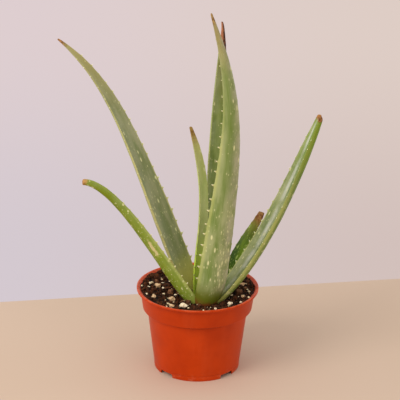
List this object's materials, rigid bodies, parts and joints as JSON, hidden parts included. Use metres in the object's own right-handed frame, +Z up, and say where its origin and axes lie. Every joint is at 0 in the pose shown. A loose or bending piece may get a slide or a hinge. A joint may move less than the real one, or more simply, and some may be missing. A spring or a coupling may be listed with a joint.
{
  "type": "potted aloe",
  "caption": "Young aloe with long toothed succulent leaves in a tapered plastic nursery pot of gritty potting mix, for a desk, shelf or sill.",
  "frame": {"origin": "middle of the whole plant's footprint, on the surface that the pot stands on", "axes": "+Z up; +X along the spread of the two long side leaves, towards the blunt-tipped one; +Y from the front leaf towards the back"},
  "size_m": [0.2254, 0.105, 0.327],
  "materials": {
    "pot_plastic": "satin moulded terracotta-orange plastic",
    "leaf_skin": "smooth waxy skin with a pale bloom and cream flecks",
    "stem_skin": "rough woody green-brown stem",
    "potting_mix": "moist crumbly dark peat mix",
    "perlite": "porous white expanded grains",
    "pumice": "rough beige porous grains",
    "bark": "small rough bark chips"
  },
  "bodies": {
    "root": {"bark_04": "bark", "bark_08": "bark", "bark_12": "bark", "bark_15": "bark", "bark_22": "bark", "bark_30": "bark", "bark_32": "bark", "leaf_centre_back": "leaf_skin", "leaf_centre_front": "leaf_skin", "leaf_centre_narrow": "leaf_skin", "leaf_left_long": "leaf_skin", "leaf_left_low": "leaf_skin", "leaf_right_long": "leaf_skin", "leaf_right_short": "leaf_skin", "perlite_01": "perlite", "perlite_06": "perlite", "perlite_07": "perlite", "perlite_09": "perlite", "perlite_11": "perlite", "perlite_13": "perlite", "perlite_14": "perlite", "perlite_17": "perlite", "perlite_18": "perlite", "perlite_19": "perlite", "perlite_21": "perlite", "perlite_23": "perlite", "perlite_25": "perlite", "perlite_26": "perlite", "perlite_28": "perlite", "perlite_31": "perlite", "perlite_33": "perlite", "pot": "pot_plastic", "potting_mix": "potting_mix", "pumice_02": "pumice", "pumice_03": "pumice", "pumice_05": "pumice", "pumice_10": "pumice", "pumice_16": "pumice", "pumice_20": "pumice", "pumice_24": "pumice", "pumice_27": "pumice", "pumice_29": "pumice", "stem": "stem_skin"}
  },
  "joints": []
}
